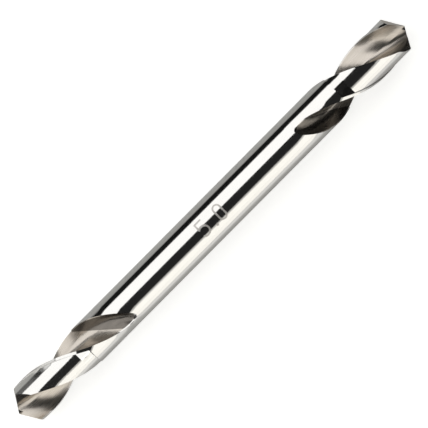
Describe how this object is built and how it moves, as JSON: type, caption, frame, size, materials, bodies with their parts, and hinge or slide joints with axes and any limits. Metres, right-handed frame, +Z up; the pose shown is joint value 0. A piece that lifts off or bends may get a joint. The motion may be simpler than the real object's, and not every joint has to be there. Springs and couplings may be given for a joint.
{
  "type": "double-ended drill bit",
  "caption": "Slim ground rod with a right-hand spiral-fluted split point on each end and a plain shank between them.",
  "frame": {"origin": "mid length of the bit, on its axis", "axes": "+X along the axis from one point to the other, +Z up, square to the axis"},
  "size_m": [0.062, 0.005, 0.005],
  "materials": {
    "drill_bit": "bright ground high-speed steel, polished on the shank and finely ground in the flutes"
  },
  "bodies": {
    "root": {"drill_bit": "drill_bit"}
  },
  "joints": []
}
